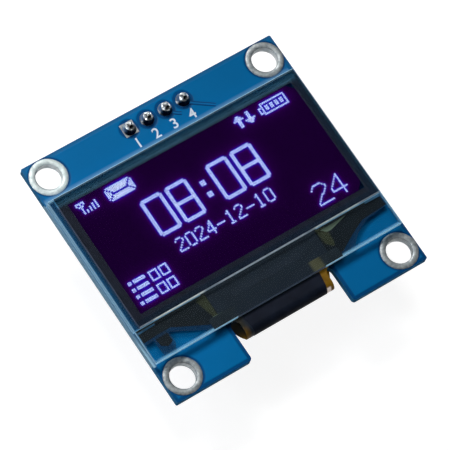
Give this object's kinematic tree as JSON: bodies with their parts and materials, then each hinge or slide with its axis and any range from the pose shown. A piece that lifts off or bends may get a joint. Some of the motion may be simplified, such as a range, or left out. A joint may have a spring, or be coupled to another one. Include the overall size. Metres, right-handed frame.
{
  "type": "small display module",
  "caption": "Small graphic display on a blue circuit board, with a glass panel, a folded flexible circuit, plated corner holes and a pin header behind its top edge.",
  "frame": {"origin": "centre of the four mounting holes, on the board's rear face", "axes": "+Z out of the lit display, +X to the right along the header, +Y towards the header"},
  "size_m": [0.0354, 0.0336, 0.0111],
  "materials": {
    "blue_board": "glossy blue solder mask on laminate",
    "tinned_copper": "tinned copper, slightly uneven",
    "solder": "satin solder",
    "header_pin": "tin plated square wire",
    "black_housing": "moulded black plastic",
    "panel_glass": "clear display glass with cut edges",
    "polariser_film": "smooth dark film",
    "pixel_layer": "dark purple field with lit dots",
    "seal_resin": "cured resin",
    "desiccant": "matt white sheet",
    "adhesive": "double sided tape",
    "driver_silicon": "polished dark silicon",
    "black_tape": "matt black film",
    "polyimide": "amber film over copper",
    "gold_finger": "gold flash on copper",
    "capacitor_ceramic": "unglazed tan ceramic",
    "resistor_body": "black glaze on white ceramic",
    "package_epoxy": "moulded black epoxy"
  },
  "bodies": {
    "root": {"cap_glass": "panel_glass", "capacitor_1": "capacitor_ceramic", "capacitor_2": "capacitor_ceramic", "capacitor_3": "capacitor_ceramic", "capacitor_4": "capacitor_ceramic", "capacitor_5": "capacitor_ceramic", "capacitor_6": "capacitor_ceramic", "capacitor_7": "capacitor_ceramic", "capacitor_8": "capacitor_ceramic", "capacitor_9": "capacitor_ceramic", "chip_end_caps": "tinned_copper", "chip_lands": "tinned_copper", "chip_solder": "solder", "chip_tape": "black_tape", "circuit_board": "blue_board", "desiccant_sheet": "desiccant", "diode_body": "package_epoxy", "diode_leads": "tinned_copper", "driver_chip": "driver_silicon", "edge_seal": "seal_resin", "flex_circuit": "polyimide", "flex_cover": "black_tape", "header_housing": "black_housing", "header_land_1": "tinned_copper", "header_land_2": "tinned_copper", "header_land_3": "tinned_copper", "header_land_4": "tinned_copper", "header_pin_1": "header_pin", "header_pin_2": "header_pin", "header_pin_3": "header_pin", "header_pin_4": "header_pin", "header_solder_1": "solder", "header_solder_2": "solder", "header_solder_3": "solder", "header_solder_4": "solder", "hole_plating_1": "tinned_copper", "hole_plating_2": "tinned_copper", "hole_plating_3": "tinned_copper", "hole_plating_4": "tinned_copper", "lead_lands": "tinned_copper", "panel_adhesive": "adhesive", "pixel_layer": "pixel_layer", "polariser": "polariser_film", "regulator_body": "package_epoxy", "regulator_leads": "tinned_copper", "resistor_1": "resistor_body", "resistor_2": "resistor_body", "resistor_3": "resistor_body", "resistor_4": "resistor_body", "resistor_5": "resistor_body", "substrate_glass": "panel_glass", "tail_fingers": "gold_finger", "tail_lands": "tinned_copper", "tail_solder": "solder"}
  },
  "joints": []
}
